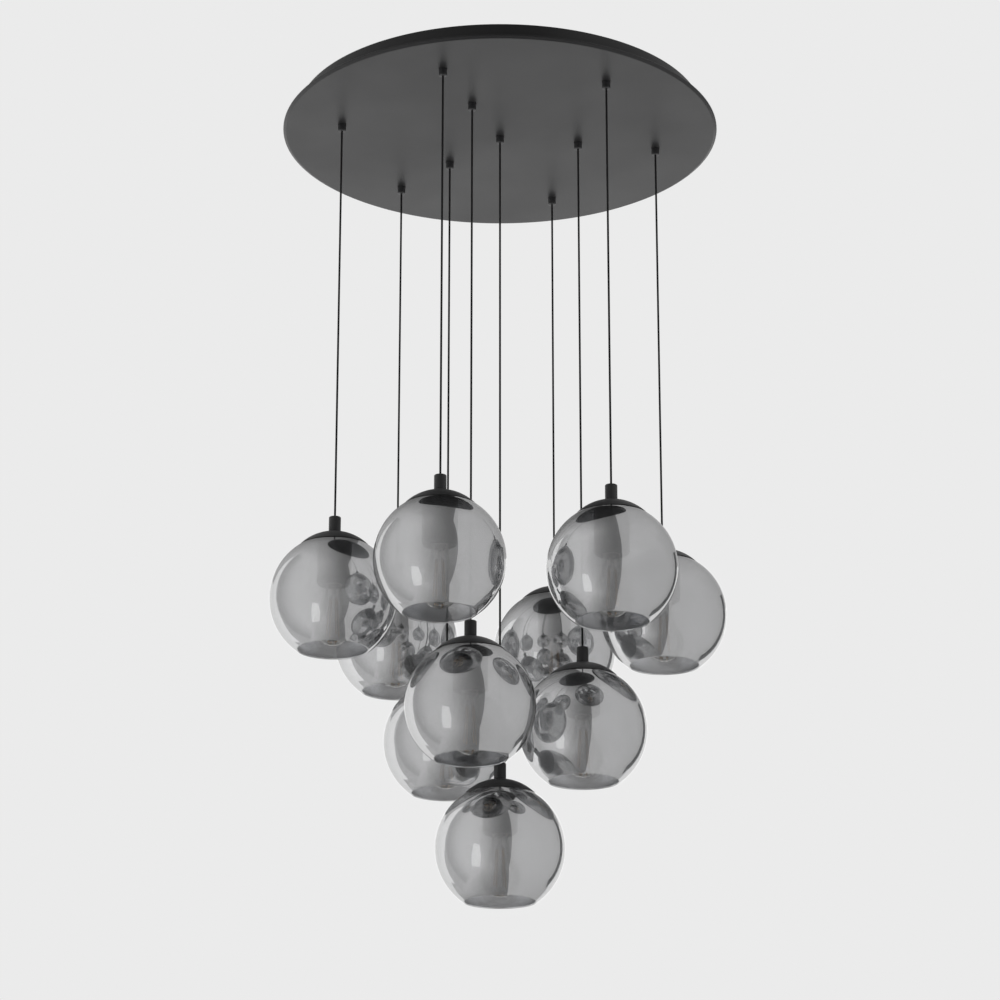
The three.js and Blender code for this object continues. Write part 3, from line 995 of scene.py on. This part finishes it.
    def build(self, nodes: dict[str, bpy.types.Object], hangings: list[Hanging]) -> None:
        """Makes the canopy's pieces and dresses the nodes that stay.

        Args:
            nodes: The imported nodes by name.
            hangings: Where the pendants hang.
        """
        make_piece("face_plate", self.face_shape(), [CHARCOAL_COAT], self.body, "canopy_face")
        make_piece("drum_wall", self.drum_shape(), [CHARCOAL_COAT], self.body, "canopy_drum")
        for hanging in hangings:
            spot = Matrix.Translation((hanging.centre.x, hanging.centre.y, 0.0))
            grip = added(moved(self.grip_shape(), spot), moved(self.nut_shape(), spot))
            make_piece(f"cord_grip_{hanging.name}", grip, [BLACK_GRIP], self.body, "canopy_face")
        for side in ("right", "left"):
            node = f"canopy_screw_{side}"
            make_piece(f"drum_screw_{side}", self.screw_shape(node), [BLACK_COAT], self.body, node)
        dress_node(nodes, "ceiling_bracket", ZINC_PLATE)
        dress_node(nodes, "terminal_block", CREAM_PLASTIC)
        dress_node(nodes, "earth_terminal", BRASS)
        dress_node(nodes, "canopy_wiring", BLACK_SHEATH)


@dataclass
class Pendant:
    """One pendant's cap with its stem, glass globe, lamp socket and bulb, about the globe's centre."""

    globe_radius: float = 0.095
    glass_thickness: float = 0.0025
    hole_radius: float = 0.021
    mouth_radius: float = 0.0535
    cap_radius: float = 0.0515
    dome_radius: float = 0.073
    rim_thickness: float = 0.0008
    cap_thickness: float = 0.0015
    seat_gap: float = 0.0003
    stem_radius: float = 0.009
    stem_length: float = 0.0245
    stem_edge: float = 0.0015
    socket_radius: float = 0.0255
    socket_neck: float = 0.018
    socket_corner: float = 0.006
    socket_low: float = 0.0205
    bore_radius: float = 0.0136
    bore_edge: float = 0.0004
    bore_spare: float = 0.004
    ring_width: float = 0.0028
    groove_width: float = 0.0012
    groove_slant: float = 0.0003
    groove_depth: float = 0.0006
    bulb_radius: float = 0.030
    bulb_tip: float = -0.072
    bulb_neck: float = 0.0126
    bulb_neck_height: float = 0.0125
    bulb_neck_reach: float = 0.002
    stem_glass: tuple[float, float, float, float] = (0.0018, 0.0022, 0.005, 0.009)
    stem_glass_rise: float = 0.008
    stem_glass_flare: float = 0.004
    base_radius: float = 0.0126
    base_length: float = 0.024
    thread_count: int = 6
    thread_depth: float = 0.0008
    thread_share: float = 0.75
    insulator_share: float = 0.7
    contact_radius: float = 0.0045
    contact_step: float = 0.0015
    contact_height: float = 0.0005
    filament_count: int = 4
    filament_radius: float = 0.0011
    filament_high: float = 0.002
    filament_low: float = -0.060
    filament_top_spread: float = 0.006
    filament_low_spread: float = 0.0105
    filament_hub: float = 0.004
    filament_tail: float = 0.003
    filament_offset: float = 0.35
    filament_sides: int = 10
    wire_radius: float = 0.0004
    wire_sides: int = 6
    globe_steps: int = 56
    mouth_steps: int = 8
    hole_steps: int = 6
    seat_steps: int = 12
    dome_steps: int = 24
    edge_steps: int = 5
    corner_steps: int = 10
    sides: int = 96
    small_sides: int = 48
    stem_sides: int = 16

    @property
    def hole_angle(self) -> float:
        """Angle from straight up to the edge of the hole under the cap."""
        return math.asin(self.hole_radius / self.globe_radius)

    @property
    def mouth_angle(self) -> float:
        """Angle from straight up to the rim of the mouth."""
        return HALF_TURN - math.asin(self.mouth_radius / self.globe_radius)

    def glass_shape(self) -> bmesh.types.BMesh:
        """Shapes the globe's shell, with melted edges at the mouth and at the hole.

        Returns:
            The shell, whose inner faces are in the second material slot.
        """
        start, end = self.hole_angle, self.mouth_angle
        outside = self.globe_radius
        middle = outside - self.glass_thickness / 2
        outline = Profile(outside * math.sin(start), outside * math.cos(start))
        outline.arc((0.0, 0.0), end - start, self.globe_steps)
        outline.arc((middle * math.sin(end), middle * math.cos(end)), HALF_TURN, self.mouth_steps)
        outline.arc((0.0, 0.0), start - end, self.globe_steps)
        outline.arc((middle * math.sin(start), middle * math.cos(start)), HALF_TURN, self.hole_steps)
        shell = outline.turned(self.sides)
        for face in shell.faces:
            face.material_index = int(face.normal.dot(face.calc_center_median()) < 0)
        return shell

    def cap_shape(self) -> bmesh.types.BMesh:
        """Shapes the domed cap, its hub over the glass's hole and the stem that stands on it.

        Returns:
            The cap with its stem.
        """
        inside = self.globe_radius + self.seat_gap
        rim_height = math.sqrt(inside**2 - self.cap_radius**2)
        rim_top = rim_height + self.rim_thickness
        centre = rim_top - math.sqrt(self.dome_radius**2 - self.cap_radius**2)
        inner = self.dome_radius - self.cap_thickness
        seat_height = (inside**2 - inner**2 + centre**2) / (2 * centre)
        seat_turn = math.asin(math.sqrt(inside**2 - seat_height**2) / inner)
        hub, hub_low = inside * math.sin(self.hole_angle), inside * math.cos(self.hole_angle)
        outline = Profile(0.0, hub_low).line(hub, hub_low)
        outline.line(hub, centre + math.sqrt(inner**2 - hub**2))
        outline.arc((0.0, centre), seat_turn - math.asin(hub / inner), self.seat_steps)
        outline.line(self.cap_radius, rim_height).line(self.cap_radius, rim_top)
        foot = math.asin(self.stem_radius / self.dome_radius)
        rim = math.asin(self.cap_radius / self.dome_radius)
        outline.arc((0.0, centre), foot - rim, self.dome_steps)
        top = centre + self.dome_radius + self.stem_length
        edge = top - self.stem_edge
        outline.line(self.stem_radius, edge)
        outline.arc((self.stem_radius - self.stem_edge, edge), -QUARTER_TURN, self.edge_steps)
        return outline.line(0.0, top).turned(self.sides)

    def socket_shape(self) -> bmesh.types.BMesh:
        """Shapes the socket's cover with its rounded foot, its bore and the ring round the bore.

        Returns:
            The cover, closed above by the cap's hub.
        """
        inner_glass = self.globe_radius - self.glass_thickness
        seat = (self.globe_radius + self.seat_gap) * math.cos(self.hole_angle) - self.seat_gap
        shoulder = math.sqrt((inner_glass - 2 * self.seat_gap) ** 2 - self.socket_radius**2)
        neck = math.sqrt((inner_glass - 2 * self.seat_gap) ** 2 - self.socket_neck**2)
        low, corner = self.socket_low, self.socket_corner
        bore, edge = self.bore_radius, self.bore_edge
        bore_end = low + self.base_length + self.bore_spare
        groove, groove_end = bore + self.ring_width, bore + self.ring_width + self.groove_width
        groove_top = low + self.groove_depth
        outline = Profile(0.0, bore_end).line(bore, bore_end)
        outline.line(bore, low + edge).line(bore + edge, low)
        outline.line(groove, low).line(groove + self.groove_slant, groove_top)
        outline.line(groove_end - self.groove_slant, groove_top).line(groove_end, low)
        foot = self.socket_radius - corner
        outline.line(foot, low).arc((foot, low + corner), -QUARTER_TURN, self.corner_steps)
        outline.line(self.socket_radius, shoulder).line(self.socket_neck, neck)
        return outline.line(self.socket_neck, seat).line(0.0, seat).turned(self.small_sides)

    def bulb_glass_shape(self) -> bmesh.types.BMesh:
        """Shapes the bulb's envelope, whose round end runs into its neck, and the glass stem in it.

        Returns:
            The envelope with the stem.
        """
        centre = self.bulb_tip + self.bulb_radius
        rise = self.bulb_neck_height - centre
        gap = self.bulb_radius - self.bulb_neck
        throat = (rise**2 - gap * (self.bulb_radius + self.bulb_neck)) / (2 * gap)
        lean = math.atan2(self.bulb_neck + throat, rise)
        bend = (self.bulb_neck + throat, self.bulb_neck_height)
        outline = Profile(0.0, self.bulb_tip).arc((0.0, centre), lean - HALF_TURN, self.dome_steps)
        outline.arc(bend, QUARTER_TURN - lean, self.corner_steps)
        neck_end = self.socket_low + self.bulb_neck_reach
        outline.line(self.bulb_neck, neck_end)
        shape = outline.line(0.0, neck_end).turned(self.small_sides)
        tip, waist, throat_side, flare = self.stem_glass
        stem = Profile(0.0, self.filament_high).line(tip, self.filament_high)
        stem.line(waist, self.filament_high + self.stem_glass_rise)
        stem.line(throat_side, self.socket_low - self.stem_glass_flare)
        stem.line(flare, self.socket_low).line(0.0, self.socket_low)
        return added(shape, stem.turned(self.stem_sides))

    def bulb_base_shape(self) -> bmesh.types.BMesh:
        """Returns the bulb's screw base with its rolled thread and end contact."""
        low = self.socket_low
        pitch = self.base_length * self.thread_share / self.thread_count
        outline = Profile(0.0, low).line(self.base_radius, low).line(self.base_radius, low + pitch / 2)
        for turn in range(self.thread_count):
            height = low + pitch * (turn + 1)
            outline.line(self.base_radius + self.thread_depth / 2, height)
            outline.line(self.base_radius - self.thread_depth / 2, height + pitch / 2)
        top = low + self.base_length
        outline.line(self.base_radius * self.insulator_share, top - self.contact_step)
        outline.line(self.contact_radius, top - self.contact_height).line(self.contact_radius, top)
        return outline.line(0.0, top).turned(self.small_sides)

    def filament_shape(self) -> bmesh.types.BMesh:
        """Shapes the upright filaments with the wires that carry them.

        Returns:
            The filaments, with the wires in the second material slot.
        """
        shape = bmesh.new()
        hub_high = Vector((0.0, 0.0, self.filament_high + self.filament_hub))
        wire, wire_sides = self.wire_radius, self.wire_sides
        for number in range(self.filament_count):
            angle = FULL_TURN * (number + self.filament_offset) / self.filament_count
            out = Vector((math.cos(angle), math.sin(angle), 0.0))
            high = out * self.filament_top_spread
            high.z = self.filament_high
            low = out * self.filament_low_spread
            low.z = self.filament_low
            tail = (low - high).normalized() * self.filament_tail
            added(shape, rod(high + tail, low - tail, self.filament_radius, self.filament_sides))
            added(shape, rod(high, high + tail, wire, wire_sides), 1)
            added(shape, rod(low - tail, low, wire, wire_sides), 1)
            added(shape, rod(hub_high, high, wire, wire_sides), 1)
            if number % 2 == 0:
                across = Matrix.Rotation(FULL_TURN / self.filament_count, 3, "Z") @ low
                added(shape, rod(low, across, wire, wire_sides), 1)
        return shape

    def build(self, hanging: Hanging) -> None:
        """Makes one pendant's pieces below its cord."""
        name = hanging.name
        spot = Matrix.Translation(hanging.centre)
        parts = (
            ("shade_cap", self.cap_shape(), [BLACK_COAT], hanging.body, "top_cap"),
            ("shade_globe", self.glass_shape(), [SMOKED_GLASS, INNER_GLASS], hanging.body, "glass_globe"),
            ("socket_cover", self.socket_shape(), [SOCKET_COAT], hanging.body, "lamp_socket"),
            ("bulb_glass", self.bulb_glass_shape(), [CLEAR_GLASS], hanging.lamp, "bulb"),
            ("bulb_base", self.bulb_base_shape(), [ZINC_PLATE], hanging.lamp, "bulb"),
            ("bulb_filaments", self.filament_shape(), [PHOSPHOR, SUPPORT_WIRE], hanging.lamp, "bulb"),
        )
        for part, shape, finishes, body, node in parts:
            make_piece(f"{part}_{name}", moved(shape, spot), finishes, body, f"{node}_{name}")


def main() -> None:
    """Builds the camera and the cords, then the canopy, the pendants and the studio."""
    logging.basicConfig(level=logging.INFO, format="%(name)s: %(message)s")
    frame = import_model()
    studio = Studio()
    studio.set_camera()
    hangings = Layout().hangings()
    Cords().build(hangings)
    Canopy().build(frame["nodes"], hangings)
    pendant = Pendant()
    for hanging in hangings:
        pendant.build(hanging)
    studio.build()


if __name__ == "__main__":
    main()
